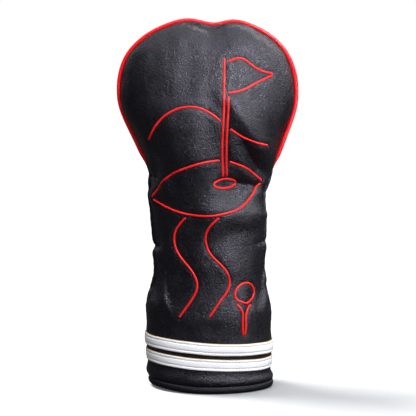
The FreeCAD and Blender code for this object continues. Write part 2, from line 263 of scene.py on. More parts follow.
BACK_FOLDS = [
    ([(0, 126), (0, 150), (4, 176)], 9, 9, 1.2, 2),
    ([(-27, 138), (-30, 160), (-36, 182)], 7, 7, -1.4, 2),
    ([(27, 134), (30, 156), (34, 178)], 7, 7, -1.4, 2),
    ([(36, 184), (48, 178), (58, 172)], 3.5, 3.5, -2.4, 1.4),
    ([(-60, 174), (-49, 182), (-38, 186)], 3.5, 3.5, -2.4, 1.4),
    ([(46, 186), (38, 206), (30, 226)], 7, 7, 1.4, 2),
    ([(-46, 188), (-38, 208), (-30, 228)], 7, 7, 1.4, 2),
    ([(10, 192), (8, 214), (4, 236)], 8, 8, -0.9, 2),
    ([(14, 56), (14, 78), (10, 98)], 8, 8, 0.9, 2),
    ([(-20, 52), (-20, 74), (-24, 94)], 9, 9, -1.0, 2),
    ([(-28, 294), (-12, 298), (6, 300)], 8, 8, -0.7, 2),
]
SIDE_BLEND = 16.0          # mm past the seam over which a fold of one side dies out


# How far padding and wear push each flank out past the CAD shape: height, left, right, in mm.
FLANKS = np.array([
    (0, -2.6, 2.6), (8, -1.6, 2.2), (15, 0.0, 1.8), (35, 0.4, 2.2), (60, 1.8, 2.7),
    (85, 1.8, 2.5), (105, 0.9, 1.7), (123, 1.4, 2.5), (141, 1.9, 1.8), (159, 1.9, -1.0),
    (168, 1.5, -0.5), (177, 2.7, 1.5), (190, 1.0, 3.0), (204, -1.0, 2.0), (222, 0.2, 2.4),
    (240, 1.8, 1.9), (258, 3.4, 1.8), (276, 3.4, 1.4), (298, 2.4, 0.2), (312, 0.8, 0.0),
    (328, 0.0, 0.0),
])


def base_skin():
    """The CAD shape of the leather, with a heart-shaped crown and its flanks pushed out."""
    x = HALF_WIDTH[:, None] * np.cos(TURN)[None]
    y = -HALF_DEPTH[:, None] * np.sin(TURN)[None]
    z = np.repeat(LEVEL[:, None], COLUMNS + 1, 1)
    neck_out, head_back = 0.15, 0.20      # shares of the front's depth
    lean = neck_out * bell(z, 220, 27) - head_back * ramp(z, 232, 300)
    y = y * (1 + lean * (y < 0) * np.sin(TURN)[None] ** 2)
    dip, lobe = 3.9, 1.3                  # mm, of the heart-shaped crown
    rise = lobe * (bell(x, -22, 15) + bell(x, 27, 13)) - dip * bell(x, 5, 12.5)
    left, right = (np.interp(LEVEL, FLANKS[:, 0], FLANKS[:, k])[:, None] for k in (1, 2))
    aside = np.abs(np.cos(TURN))[None] ** 2.5
    x = x + aside * np.where(x > 0, smoothed(right, 10), -smoothed(left, 10))
    return np.stack([x, y, z + ramp(z, TOP - 42, TOP) * rise], -1)


def normals_of(grid):
    """Unit normals of a closed grid of points, pointing out of the cover."""
    up = np.gradient(grid, axis=0)
    ring = grid[:, :-1]
    round_it = closed(np.roll(ring, -1, 1) - np.roll(ring, 1, 1))
    out = np.cross(up, round_it)
    out /= np.maximum(np.linalg.norm(out, axis=-1, keepdims=True), 1e-9)
    middle = np.array([0, 0, 160.0])
    if np.mean(np.sum(out * (grid - middle), -1)) < 0:
        out = -out
    return out


def seam_distance():
    """Distance along the surface from every grid point to the nearer side seam, in mm."""
    runs = np.linalg.norm(np.diff(base_skin(), axis=1), axis=-1)
    along = np.concatenate([np.zeros((ROWS, 1)), np.cumsum(runs, 1)], 1)
    half = along[:, HALF:HALF + 1]
    return np.minimum(np.minimum(along, np.abs(along - half)), along[:, -1:] - along)


FROM_SEAM = seam_distance()


def near_line(knots, x, z):
    """Signed distance to a line, above zero on its left, and the share of its length passed."""
    line = curve_line(*knots)
    best = np.full(x.shape, 1e9)
    away, share = np.zeros(x.shape), np.zeros(x.shape)
    count = len(line) - 1
    for i in range(count):
        start, run = line[i], line[i + 1] - line[i]
        length = np.hypot(*run)
        step = run / length
        along = np.clip((x - start[0]) * step[0] + (z - start[1]) * step[1], 0, length)
        off_x, off_z = x - start[0] - along * step[0], z - start[1] - along * step[1]
        distance = np.hypot(off_x, off_z)
        nearer = distance < best
        side = np.where(step[0] * off_z - step[1] * off_x >= 0, 1.0, -1.0)
        best = np.where(nearer, distance, best)
        away = np.where(nearer, distance * side, away)
        share = np.where(nearer, (i + along / length) / count, share)
    return away, share


def folds_at(grid):
    """How far the listed folds lift each point of the grid, in mm."""
    x, y, z = np.moveaxis(grid, -1, 0)
    lift = np.zeros(x.shape)
    for side, folds in ((FRONT, FRONT_FOLDS), (BACK, BACK_FOLDS)):
        on_side = ramp(side * y, -SIDE_BLEND, SIDE_BLEND * 0.3)
        for knots, left, right, height, power in folds:
            away, share = near_line(knots, x, z)
            ends = ramp(share, 0.0, 0.3) * (1 - ramp(share, 0.65, 1.0))
            shape = np.exp(-np.abs(away / np.where(away > 0, left, right)) ** power)
            lift += height * shape * ends * on_side
    return lift


PLEAT_PITCH = 8.6          # mm between the gathers of the waist
PUCKER_PITCH = 6.8         # mm between the puckers beside a seam
HEM_TILT, HEM_LIFT = 3.0, 2.6      # mm, how far the hem is askew


def gathers_at(grid):
    """The pleats that the waist elastic pulls into the back panel."""
    x, y, z = grid[..., 0], grid[..., 1], grid[..., 2]
    middle = sum(WAIST) / 2
    wander = noise_of(grid * np.array([1, 1, 0.35]), 14.0, 3)
    pleat = np.sin(2 * math.pi * x / PLEAT_PITCH + 2.2 * wander + 0.02 * (z - middle))
    reach = np.where(z > middle, 30.0, 22.0)
    held = ramp(y, 4, 18)
    return held * bell(z, middle, reach) * (1.15 * pleat - 0.5)


PUFF_SCALE = 0.01          # the solver is steadier at ten times the cover's real size
PUFF_STEPS = 22
PUFF_MOST = 4.0            # mm, the most that the padding may swell
CLOTH = {
    "quality": 6, "mass": 0.4, "tension_stiffness": 18, "compression_stiffness": 18,
    "shear_stiffness": 6, "bending_stiffness": 2.2, "air_damping": 3, "use_pressure": True,
    "uniform_pressure_force": 3.2, "vertex_group_mass": "held", "pin_stiffness": 1.0,
    "shrink_min": -0.045,
}


def held_share(level, from_seam, at_back):
    """How firmly the simulation holds a point of the coarse skin: 1 still, 0 free.

    from_seam counts the columns from the nearer side seam."""
    if from_seam == 0 or level > TOP - 1:
        return 1.0
    share = max(0.6 if from_seam == 1 else 0.0, 1 - float(ramp(level, 46, 100)))
    return max(share, 0.7) if at_back and WAIST[0] < level < WAIST[1] else share


def puff(grid):
    """What a short pressure simulation adds to the coarse skin, its seams and hem held still."""
    coarse = grid[::COARSE, :-1:COARSE]
    rows, columns = coarse.shape[:2]
    half = columns // 2
    start = coarse - normals_of(grid)[::COARSE, :-1:COARSE] * 0.8
    index = np.arange(rows * columns).reshape(rows, columns)
    faces = quads(closed(index)) + [index[-1].tolist()]
    mesh = bpy.data.meshes.new("puff")
    mesh.from_pydata((start.reshape(-1, 3) * PUFF_SCALE).tolist(), [], faces)
    item = bpy.data.objects.new("puff", mesh)
    scene = bpy.context.scene
    scene.collection.objects.link(item)
    held = item.vertex_groups.new(name=CLOTH["vertex_group_mass"])
    for r in range(rows):
        for c in range(columns):
            share = held_share(LEVEL[r * COARSE], min(c, abs(c - half), columns - c), c > half)
            if share:
                held.add([r * columns + c], share, "REPLACE")
    settings = item.modifiers.new("cloth", "CLOTH").settings
    for name, value in CLOTH.items():
        setattr(settings, name, value)
    settings.effector_weights.gravity = 0
    for step in range(1, PUFF_STEPS + 1):
        scene.frame_set(step)
    shown = item.evaluated_get(bpy.context.evaluated_depsgraph_get())
    moved = np.empty(rows * columns * 3)
    shown.data.vertices.foreach_get("co", moved)
    scene.frame_set(1)
    bpy.data.objects.remove(item)
    return capped(moved.reshape(rows, columns, 3) / PUFF_SCALE - coarse, PUFF_MOST)


def capped(change, most):
    """Moves shortened smoothly, so that none is longer than most."""
    length = np.maximum(np.linalg.norm(change, axis=-1, keepdims=True), 1e-9)
    return change * most * np.tanh(length / most) / length


def resampled(values, axis, count):
    """Values spread evenly over another count of places along an axis."""
    old = np.arange(values.shape[axis])
    at = np.linspace(0, old[-1], count)
    return np.apply_along_axis(lambda line: np.interp(at, old, line), axis, values)


def refined(coarse):
    """A coarse grid of moves spread over the full grid of the skin."""
    made = resampled(resampled(closed(coarse), 0, ROWS), 1, COLUMNS + 1)
    return closed(smoothed(smoothed(made, COARSE)[:, :-1], COARSE, 1, wrap=True))


def seam_shape(grid):
    """How far the seams pull the skin in, and its puckers beside them."""
    z = grid[..., 2]
    piped = ramp(z, SEAM_START - 4, SEAM_START + 10)
    plain = (1 - piped) * ramp(z, 47, 56)
    along = np.arange(ROWS)[:, None] * ROW_STEP
    wander = noise_of(grid, 26.0, 5)
    pucker = np.sin(2 * math.pi * along / PUCKER_PITCH + 3.5 * wander)
    valley = 1.7 * np.exp(-(FROM_SEAM / 2.6) ** 1.3) - 0.5 * bell(FROM_SEAM, 8.0, 5.0)
    fine_valley = 1.1 * np.exp(-(FROM_SEAM / 1.6) ** 1.2) - 0.25 * bell(FROM_SEAM, 4.5, 3.0)
    return (piped * (-valley + 0.24 * pucker * bell(FROM_SEAM, 4.0, 3.5))
            + plain * (-fine_valley + 0.10 * pucker * bell(FROM_SEAM, 3.0, 3.0)))


def surface_noise(grid):
    """Slow unevenness of padded leather, and the cloudy dents that its sheen shows."""
    stretched = grid * np.array([1.0, 1.0, 0.75])
    head = ramp(grid[..., 2], 160, 260)
    slow = noise_of(stretched, 30.0, 1) * 1.0
    dents = noise_of(stretched, 13.0, 2) * (0.34 + 0.22 * head)
    small = noise_of(stretched, 5.5, 4) * (0.07 + 0.07 * head)
    return (slow + dents + small) * ramp(grid[..., 2], 44, 74) * ramp(FROM_SEAM, -3, 9)


def hem_shape():
    """The roll of leather above the hem lip, and the ditch that the lip is sewn into."""
    level = np.repeat(LEVEL[:, None], COLUMNS + 1, 1)
    return (1.7 * bell(level, 11.0, 4.6) - 1.5 * bell(level, 5.2, 1.8)
            - 0.25 * bell(level, 33.4, 1.6))


def skewed(grid):
    """The skin with its hem region tilted, a little higher on the left, and its lip lifted there."""
    made = grid.copy()
    side = grid[..., 0] / HALF_WIDTH[0]
    level = np.repeat(LEVEL[:, None], COLUMNS + 1, 1)
    tilt = -HEM_TILT * side * ramp(level, 4, 20) * (1 - ramp(level, 60, 110))
    lift = HEM_LIFT * ramp(-side, 0.1, 1.0) * (1 - ramp(level, 4, 24))
    made[..., 2] += tilt + lift
    return made


def make_skin():
    """The outer face of the leather, and the smooth core face that the hidden layers follow."""
    base = base_skin()
    grid = base
    free = ramp(base[..., 2], 52, 92)[..., None] * ramp(FROM_SEAM, 0, 7)[..., None]
    grid = base + refined(puff(base)) * free
    out = normals_of(grid)
    lift = folds_at(grid) + gathers_at(grid) + surface_noise(grid) + hem_shape()
    grid = grid + out * (lift + seam_shape(grid))[..., None]
    grid[:, -1] = grid[:, 0]
    smooth_out = normals_of(base)
    raised = np.sum((grid - base) * smooth_out, -1)
    core = base + smooth_out * lowest_near(raised)[..., None]
    return skewed(grid), skewed(core), smooth_out


def lowest_near(values):
    """The lowest value round each grid point, smoothed without rising above the values."""
    ring = values[:, :-1]
    for _ in range(2 * COARSE):
        ring = np.minimum(ring, np.minimum(np.roll(ring, 1, 1), np.roll(ring, -1, 1)))
        above = np.concatenate([ring[1:], ring[-1:]])
        below = np.concatenate([ring[:1], ring[:-1]])
        ring = np.minimum(ring, np.minimum(above, below))
    return closed(smoothed(smoothed(ring, 2 * COARSE), 2 * COARSE, 1, wrap=True))


def look_up(values, column, row):
    """Bilinear values of a grid at column and row positions."""
    column = np.mod(np.asarray(column, float), COLUMNS)
    row = np.clip(np.asarray(row, float), 0, ROWS - 1.001)
    c, r = column.astype(int), row.astype(int)
    u, v = (column - c)[..., None], (row - r)[..., None]
    low = values[r, c] * (1 - u) + values[r, c + 1] * u
    high = values[r + 1, c] * (1 - u) + values[r + 1, c + 1] * u
    return low * (1 - v) + high * v


def unit(vectors):
    """Vectors of length 1."""
    return vectors / np.maximum(np.linalg.norm(vectors, axis=-1, keepdims=True), 1e-9)


class Skin:
    """A face of the cover: its points and normals, and lookups on them."""

    def __init__(self, grid, normals=None):
        self.points = grid
        self.normals = normals_of(grid) if normals is None else normals

    def at(self, column, row, lift=0.0):
        """Points on the skin, lifted along its normals, and those normals."""
        out = unit(look_up(self.normals, column, row))
        place = look_up(self.points, column, row)
        return place + out * np.asarray(lift, float)[..., None], out

    def front(self, x, z, lift=0.0):
        """The point of the front panel that the pattern point (x, z) is printed on."""
        row = row_of(z)
        wide = np.interp(row, np.arange(ROWS), HALF_WIDTH)
        turn = np.arccos(np.clip(np.asarray(x) / wide, -1, 1))
        return self.at(turn / (2 * math.pi) * COLUMNS, row, lift)


# ---------------------------------------------------------------- meshes

def add_mesh(name, points, faces, materials, slots=None, smooth=True):
    """A new mesh object from points in mm. slots gives each face's material number."""
    mesh = bpy.data.meshes.new(name)
    mesh.from_pydata((np.asarray(points) * MM).tolist(), [], faces)
    work = bmesh.new()
    work.from_mesh(mesh)
    bmesh.ops.recalc_face_normals(work, faces=work.faces)
    work.to_mesh(mesh)
    work.free()
    for material in materials:
        mesh.materials.append(material)
    if slots is not None:
        mesh.polygons.foreach_set("material_index", slots)
    mesh.polygons.foreach_set("use_smooth", [smooth] * len(mesh.polygons))
    mesh.update()
    item = bpy.data.objects.new(name, mesh)
    bpy.context.scene.collection.objects.link(item)
    return item


def add_piece(name, mesh, look, node, second_look=None, slots=None):
    """A piece that rides on the cover and stands for a CAD node."""
    looks = [LOOKS[look]] if second_look is None else [LOOKS[look], LOOKS[second_look]]
    item = add_mesh(name, *mesh, looks, slots)
    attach(item, BODY)
    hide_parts(node)
    return item


def slab_mesh(outer, inner):
    """Points and faces of a closed sheet between two open grids."""
    rows, columns = outer.shape[:2]
    points = np.concatenate([outer.reshape(-1, 3), inner.reshape(-1, 3)])
    shift = rows * columns
    index = np.arange(shift).reshape(rows, columns)
    rim = np.concatenate([index[0, :], index[1:, -1], index[-1, -2::-1], index[-2:0:-1, 0]])
    after = np.roll(rim, -1)
    edge = np.stack([after, rim, rim + shift, after + shift], 1).tolist()
    return points, quads(index) + quads(index[:, ::-1] + shift) + edge


def loft(parts, closed_path=False):
    """Points and faces of lofts. Each part is an array of closed sections."""
    points, faces, start = [], [], 0
    for sections in parts:
        count, around = sections.shape[:2]
        index = start + np.arange(count * around).reshape(count, around)
        if closed_path:
            faces += quads(closed(np.concatenate([index, index[:1]])))
        else:
            faces += quads(closed(index)) + [index[0, ::-1].tolist(), index[-1].tolist()]
        points.append(sections.reshape(-1, 3))
        start += count * around
    return np.concatenate(points), faces


def swept(centre, out, aside, shapes):
    """Sections along a path. shapes holds each section's (out, aside) offsets from its centre."""
    return centre[:, None] + shapes[..., :1] * out[:, None] + shapes[..., 1:] * aside[:, None]


def side_columns(side):
    """First and last grid column of one panel."""
    return (0, HALF) if side == FRONT else (HALF, COLUMNS)


def layer(skin, side, depths, low=0.0, high=None, step=1, x_reach=None, inner_out=None):
    """Outer and inner grid of one layer of one panel, at depths below the skin."""
    first, last = side_columns(side)
    bottom = round(float(row_of(low)))
    top = ROWS - 1 if high is None else round(float(row_of(high)))
    rows = np.arange(bottom, top + 1, step)
    columns = np.arange(first, last + 1, step)
    if x_reach is not None:
        reach = np.abs(skin.points[round(float(row_of((low + high) / 2))), columns, 0])
        columns = columns[reach < x_reach]
    pick = np.ix_(rows, columns)
    points, out = skin.points[pick], skin.normals[pick]
    inward = out if inner_out is None else inner_out[pick]
    outer = points - out * depths[0]
    inner = outer - inward * (depths[1] - depths[0])
    for grid in (outer, inner):
        grid[..., 1] = side * np.maximum(side * grid[..., 1], 0.02)
    return outer, inner


# ---------------------------------------------------------------- materials

def add_node(tree, kind, sockets=None, out=0, **properties):
    """One output of a new shader node, its properties set and its sockets linked or set."""
    node = tree.nodes.new("ShaderNode" + kind)
    for name, value in properties.items():
        setattr(node, name, value)
    for key, value in (sockets or {}).items():
        if isinstance(value, bpy.types.NodeSocket):
            tree.links.new(value, node.inputs[key])
        else:
            node.inputs[key].default_value = value
    return node.outputs[out]


class Shader:
    """A material's node tree, with short calls to add nodes. Coordinates are in mm."""

    def __init__(self, name):
        self.material = bpy.data.materials.new(name)
        self.material.use_nodes = True
        place = self.node("TexCoord", out="Object")
        self.place = self.node("VectorMath", {0: place, "Scale": 1 / MM}, operation="SCALE")

    def node(self, kind, sockets=None, out=0, **properties):
        return add_node(self.material.node_tree, kind, sockets, out, **properties)

    def noise(self, scale, detail=2.0, rough=0.5, distortion=0.0):
        return self.node("TexNoise", {"Vector": self.place, "Scale": scale, "Detail": detail,
                                      "Roughness": rough, "Distortion": distortion})

    def cells(self, scale, feature="DISTANCE_TO_EDGE", place=None):
        sockets = {"Vector": place or self.place, "Scale": scale}
        return self.node("TexVoronoi", sockets, "Distance", feature=feature)

    def wave(self, scale, direction, distortion=0.0):
        sockets = {"Vector": self.place, "Scale": scale, "Distortion": distortion}
        return self.node("TexWave", sockets, "Fac", bands_direction=direction)

    def warped(self, amount, scale):
        """Coordinates pushed about by noise."""
        drift = self.node("TexNoise", {"Vector": self.place, "Scale": scale}, "Color")
        return self.node("VectorMath", {0: drift, 1: (amount, amount, amount), 2: self.place},
                         operation="MULTIPLY_ADD")

    def remap(self, value, low, high, new_low, new_high):
        return self.node("MapRange", {"Value": value, "From Min": low, "From Max": high,
                                      "To Min": new_low, "To Max": new_high}, "Result")

    def plus(self, a, b):
        return self.node("Math", {0: a, 1: b}, operation="ADD")

    def times(self, a, b):
        return self.node("Math", {0: a, 1: b}, operation="MULTIPLY")

    def colour(self, share, first, second):
        """A colour between two, by share. The first may come from a node."""
        first = first if isinstance(first, bpy.types.NodeSocket) else (*first, 1)
        return self.node("Mix", {"Factor": share, 6: first, 7: (*second, 1)}, 2, data_type="RGBA")

    def painted_by_pointiness(self, base, none, full, share, painted_colour):
        """Painted light and shade led by pointiness: the base colour mixed towards a painted colour,
        not at all where pointiness is none, and by share at full.
        """
        pointiness = self.node("NewGeometry", out="Pointiness")
        return self.colour(self.remap(pointiness, none, full, 0.0, share), base, painted_colour)

    def bump(self, height, depth, under=None):
        """A bump of that depth in mm, on top of another bump if one is given."""
        sockets = {"Strength": 1.0, "Distance": depth * MM, "Height": height}
        if under is not None:
            sockets["Normal"] = under
        return self.node("Bump", sockets, "Normal")

    def even(self, texture, dark, light, rough, depth, **values):
        """The material, its colour, roughness and bump depth in mm all led by one texture."""
        return self.finish(self.colour(texture, dark, light), self.remap(texture, 0, 1, *rough),
                           self.bump(texture, depth), **values)

    def finish(self, colour, roughness, normal, **values):
        """The material, with these inputs and with plain values on its other sockets."""
        tree = self.material.node_tree
        surface = tree.nodes["Principled BSDF"]
        for name, value in values.items():
            surface.inputs[name.replace("_", " ")].default_value = value
        tree.links.new(colour, surface.inputs["Base Color"])
        tree.links.new(roughness, surface.inputs["Roughness"])
        tree.links.new(normal, surface.inputs["Normal"])
        return self.material


def black_leather(name, gloss=0.26, grain=1.0, shine=0.56):
    """Pebbled semi-gloss black leather with a blue-grey sheen, and a painted blue-grey highlight on
    its ridges.
    """
    s = Shader(name)
    warped = s.warped(1.2, 0.5)
    domes = s.remap(s.cells(0.62, "F1", warped), 0.0, 0.75, 1.0, 0.0)
    cracks = s.remap(s.cells(0.62, place=warped), 0.0, 0.18, 0.0, 1.0)
    fine = s.remap(s.cells(1.4, "F1", warped), 0.0, 0.7, 1.0, 0.0)
    patches = s.noise(0.045, 3.0, 0.55)
    strength = s.remap(patches, 0.35, 0.65, 0.7, 1.0)
    height = s.times(s.plus(domes, s.times(cracks, 0.25)), strength)
    height = s.plus(height, s.times(fine, 0.4))
    crumple = s.bump(s.noise(0.42, 3.0, 0.65), 0.42 * grain)
    base = s.colour(patches, (0.0014, 0.0013, 0.0019), (0.0034, 0.0032, 0.0048))
    base = s.colour(s.remap(cracks, 0, 1, 0.6, 0.0), base, (0.0006, 0.0006, 0.0007))
    # Painted highlight: a lighter blue-grey where the mesh is convex, on the ridges of its folds and
    # grain.
    base = s.painted_by_pointiness(base, 0.505, 0.56, 0.4, (0.016, 0.0155, 0.020))
    rough = s.remap(s.noise(0.10, 2.0, 0.5), 0.3, 0.7, gloss - 0.05, gloss + 0.08)
    rough = s.plus(rough, s.remap(s.noise(0.55, 2.0, 0.6), 0.3, 0.7, -0.10, 0.16))
    rough = s.plus(rough, s.remap(cracks, 0, 1, 0.2, 0.0))
    return s.finish(base, rough, s.bump(height, 0.26 * grain, crumple),
                    Specular_IOR_Level=shine, Specular_Tint=(0.88, 0.85, 1.0, 1.0))


def white_leather():
    """Smooth coated white leather with a faint grain, and painted grey shade in the hollows beside
    its stitches.
    """
    s = Shader("white_leather")
    grain = s.remap(s.cells(1.5, place=s.warped(0.8, 0.6)), 0.0, 0.25, 0.0, 1.0)
    patches = s.noise(0.09, 3.0, 0.6)
    normal = s.bump(s.noise(3.0, 2.0, 0.6), 0.03, s.bump(grain, 0.035))
    base = s.colour(patches, (0.80, 0.81, 0.84), (0.90, 0.90, 0.91))
    # Painted shade: grey where the mesh is hollow, in the stitch grooves and dimples.
    base = s.painted_by_pointiness(base, 0.49, 0.40, 0.55, (0.34, 0.34, 0.35))
    return s.finish(base, s.remap(patches, 0.3, 0.7, 0.36, 0.46), normal,
                    Specular_IOR_Level=0.5, Coat_Weight=0.1, Coat_Roughness=0.3)


def cut_edge():
    """The raw beige edge of a cut leather strip."""
    s = Shader("cut_edge")
    return s.even(s.noise(2.6, 4.0, 0.7), (0.36, 0.235, 0.12), (0.62, 0.46, 0.28), (0.75, 0.95),
                  0.08, Specular_IOR_Level=0.2)


def red_vinyl():
    """Glossy red vinyl that is wrapped round the piping's cord."""
    s = Shader("red_vinyl")
    grain = s.remap(s.cells(1.9, place=s.warped(0.7, 0.9)), 0.0, 0.25, 0.0, 1.0)
    base = s.colour(s.noise(0.12, 3.0, 0.6), (0.62, 0.002, 0.006), (0.78, 0.006, 0.012))
    # Painted shade: a darker red where the mesh is hollow, in the bead's creases.
    base = s.painted_by_pointiness(base, 0.5, 0.42, 0.5, (0.20, 0.0, 0.002))
    return s.finish(base, s.remap(s.noise(1.2, 2.0), 0.3, 0.7, 0.24, 0.34), s.bump(grain, 0.03),
                    Specular_IOR_Level=0.35, Coat_Weight=0.25, Coat_Roughness=0.12)


def satin_thread():
    """Shiny red embroidery thread, with painted shade between its passes and a painted highlight on
    their crests.
    """
    s = Shader("satin_thread")
    strands = s.noise(3.2, 2.0, 0.6)
    base = s.colour(s.noise(0.25, 2.0, 0.5), (0.52, 0.003, 0.006), (0.72, 0.008, 0.012))
    # Painted highlight: a brighter red where the mesh is convex, on the crest of each pass.
    base = s.painted_by_pointiness(base, 0.50, 0.60, 0.4, (0.92, 0.06, 0.05))
    # Painted shade: a dark red where the mesh is hollow, between the passes.
    base = s.painted_by_pointiness(base, 0.51, 0.42, 0.85, (0.12, 0.0, 0.002))
    return s.finish(base, s.remap(strands, 0.3, 0.7, 0.30, 0.44), s.bump(strands, 0.05),
                    Specular_IOR_Level=0.28, Anisotropic=0.4)


def sewing_thread(name, light, dark):
    """Twisted polyester sewing thread."""
    s = Shader(name)
    return s.even(s.noise(4.0, 3.0, 0.65), dark, light, (0.5, 0.75), 0.05,
                  Specular_IOR_Level=0.4, Sheen_Weight=0.2, Sheen_Roughness=0.5)


def fleece():
    """Brushed charcoal fleece."""
    s = Shader("fleece")
    curls = s.noise(1.1, 5.0, 0.75, 1.4)
    fibres = s.noise(6.0, 3.0, 0.7)
    base = s.colour(curls, (0.012, 0.012, 0.014), (0.060, 0.060, 0.066))
    normal = s.bump(fibres, 0.2, s.bump(curls, 0.7))
    return s.finish(base, s.remap(fibres, 0, 1, 0.85, 1.0), normal, Specular_IOR_Level=0.15,
                    Sheen_Weight=0.7, Sheen_Roughness=0.6, Sheen_Tint=(0.5, 0.5, 0.56, 1.0))


def foam():
    """Open-cell grey foam."""
    s = Shader("foam")
    return s.even(s.cells(1.3, "F1", s.warped(0.5, 1.0)), (0.10, 0.10, 0.105),
                  (0.27, 0.27, 0.28), (0.85, 1.0), 0.5, Specular_IOR_Level=0.15)


def webbing():
    """Woven black elastic, ribbed along its length."""
    s = Shader("webbing")
    cloth = s.times(s.wave(0.42, "Z"), s.wave(0.62, "X", 0.4))
    return s.even(cloth, (0.012, 0.012, 0.014), (0.055, 0.055, 0.06), (0.7, 0.85), 0.25,
                  Specular_IOR_Level=0.3, Sheen_Weight=0.3)


def felt():
    """White non-woven stabiliser."""
    s = Shader("felt")
    return s.even(s.noise(1.6, 5.0, 0.75, 2.0), (0.50, 0.50, 0.48), (0.80, 0.80, 0.77),
                  (0.85, 0.98), 0.15, Specular_IOR_Level=0.15)


def cotton():
    """Twisted natural cotton cord."""
    s = Shader("cotton")
    return s.even(s.noise(1.8, 4.0, 0.7, 0.8), (0.48, 0.44, 0.36), (0.78, 0.74, 0.66),
                  (0.8, 0.95), 0.2, Specular_IOR_Level=0.2)


LOOKS = {
    "leather": black_leather("black_leather"),
    "binding": black_leather("binding_leather", gloss=0.38, grain=0.8, shine=0.3),
    "white": white_leather(),
    "edge": cut_edge(),
    "vinyl": red_vinyl(),
    "satin": satin_thread(),
    "white_thread": sewing_thread("white_thread", (0.60, 0.60, 0.60), (0.36, 0.36, 0.37)),
    "black_thread": sewing_thread("black_thread", (0.035, 0.035, 0.038), (0.012, 0.012, 0.014)),
    "fleece": fleece(),
    "foam": foam(),
    "webbing": webbing(),
    "felt": felt(),
    "cotton": cotton(),
}


# ---------------------------------------------------------------- the embroidered scene

def ring_line(x, z, half_width, half_height):
    """A closed ring of the embroidery."""
    turns = np.linspace(0, 2 * math.pi, 41)
    return np.stack([x + half_width * np.cos(turns), z + half_height * np.sin(turns)], 1)


# The same lines as in the CAD model, in mm on the front panel.
MOTIF = {
    "flag": [
        curve_line((20.8, 291.4), (31.0, 294.0), (44.0, 286.0), (58.5, 281.0)),
        curve_line((58.0, 279.4), (45.0, 273.0), (34.0, 267.0), (20.8, 263.6)),
    ],
    "flagstick": [
        curve_line((17.2, 190.5), (17.2, 225.0), (17.2, 260.0), (17.2, 294.6)),
        curve_line((20.8, 190.5), (20.8, 225.0), (20.8, 260.4)),
    ],
    "cup": [ring_line(19.0, 184.5, 10.5, 3.4)],
    "far_hill": [
        curve_line((-50.0, 223.0), (-37.0, 242.0), (-15.0, 252.0), (4.0, 248.0), (14.6, 240.5)),
        curve_line((23.4, 233.0), (37.0, 224.0), (51.0, 219.5)),
    ],
    "green": [
        curve_line((-46.5, 172.5), (-33.0, 190.0), (-12.0, 201.0), (2.0, 204.0), (14.6, 204.0)),
        curve_line((23.4, 203.0), (37.0, 198.0), (48.5, 187.0)),
        curve_line((48.0, 184.6), (34.0, 168.0), (13.0, 159.5), (-10.0, 158.0), (-30.0, 162.5),
                   (-45.5, 170.2)),
    ],
    "fairway": [
        curve_line((-17.0, 155.6), (-27.0, 141.0), (-24.0, 124.0), (-11.0, 109.0), (-6.0, 94.0),
                   (-13.0, 79.0), (-22.0, 66.0)),
        curve_line((12.0, 156.6), (1.5, 142.0), (4.0, 126.0), (15.5, 112.0), (20.0, 97.0),
                   (13.5, 82.0), (5.0, 68.0)),
    ],
    "ball": [ring_line(33.0, 88.6, 8.6, 8.6)],
    "tee": [
        curve_line((26.6, 78.6), (30.2, 74.6), (31.4, 67.0), (32.2, 54.0)),
        curve_line((39.4, 78.6), (35.8, 74.6), (34.6, 67.0), (33.8, 54.0)),
    ],
}
SATIN_HALF_WIDTH = 1.12    # mm
SATIN_FLATNESS = 0.86      # height of an embroidered line over its half width
RIB_PITCH = 0.6            # mm, one pass of the embroidery thread


def marked_by_motif(grid):
    """The skin with the shallow trough that the tight embroidery pulls into the leather."""
    skin = Skin(grid)
    marks = np.concatenate([skin.front(line[:, 0], line[:, 1])[0]
                            for lines in MOTIF.values() for line in lines])
    tree = kdtree.KDTree(len(marks))
    for i, point in enumerate(marks):
        tree.insert(point, i)
    tree.balance()
    first, last = side_columns(FRONT)
    made = grid.copy()
    near = np.array([[tree.find(point)[2] for point in row]
                     for row in grid[:, first:last + 1]])
    trough, rim = 0.62, 0.16         # mm
    lift = rim * bell(near, 4.4, 2.0) - trough * bell(near, 0, 1.9)
    made[:, first:last + 1] += skin.normals[:, first:last + 1] * lift[..., None]
    return made


def even_points(points, step):
    """Points resampled evenly along a polyline."""
    along = lengths_along(points)
    even = np.linspace(0, along[-1], max(4, round(along[-1] / step) + 1))
    return np.stack([np.interp(even, along, points[:, axis]) for axis in range(3)], 1)


def satin_part(skin, line):
    """Sections of one embroidered line: a half-round of slanted thread passes."""
    along = lengths_along(skin.front(line[:, 0], line[:, 1])[0])
    count = max(6, round(along[-1] / (RIB_PITCH / 2)) // 2 * 2 + 1)
    even = np.linspace(0, along[-1], count)
    x, z = np.interp(even, along, line[:, 0]), np.interp(even, along, line[:, 1])
    centre, out = skin.front(x, z)
    forward = unit(np.gradient(centre, axis=0))
    aside = unit(np.cross(forward, out))
    size = np.where(np.arange(count) % 2 == 0, 1.0, 0.76)
    if np.linalg.norm(line[0] - line[-1]) > 0.01:
        ends = np.minimum(even, along[-1] - even)
        size *= np.clip(0.35 + ends / 1.1, 0, 1) ** 0.6
    angles = np.radians(np.linspace(-112, 112, 9))
    ring = SATIN_HALF_WIDTH * np.stack([SATIN_FLATNESS * np.cos(angles), np.sin(angles)], 1)
    shapes = ring * size[:, None, None] + np.array([0.12, 0.0])
    slant = 0.3 * np.sin(angles)[:, None] * forward[:, None]
    return swept(centre, out, aside, shapes) + slant


def make_motif(skin):
    """Every embroidered piece of the golf scene."""
    for name, lines in MOTIF.items():
        mesh = loft([satin_part(skin, line) for line in lines])
        add_piece(f"embroidered_{name}", mesh, "satin", f"motif_{name}")


# ---------------------------------------------------------------- panels and hidden layers

def make_panels(skin, smooth_out):
    """The two leather panels."""
    for side, name in ((FRONT, "front"), (BACK, "back")):
        mesh = slab_mesh(*layer(skin, side, LEATHER, low=LOWEST_CUT, inner_out=smooth_out))
        item = add_piece(f"{name}_leather", mesh, "leather", f"{name}_panel")


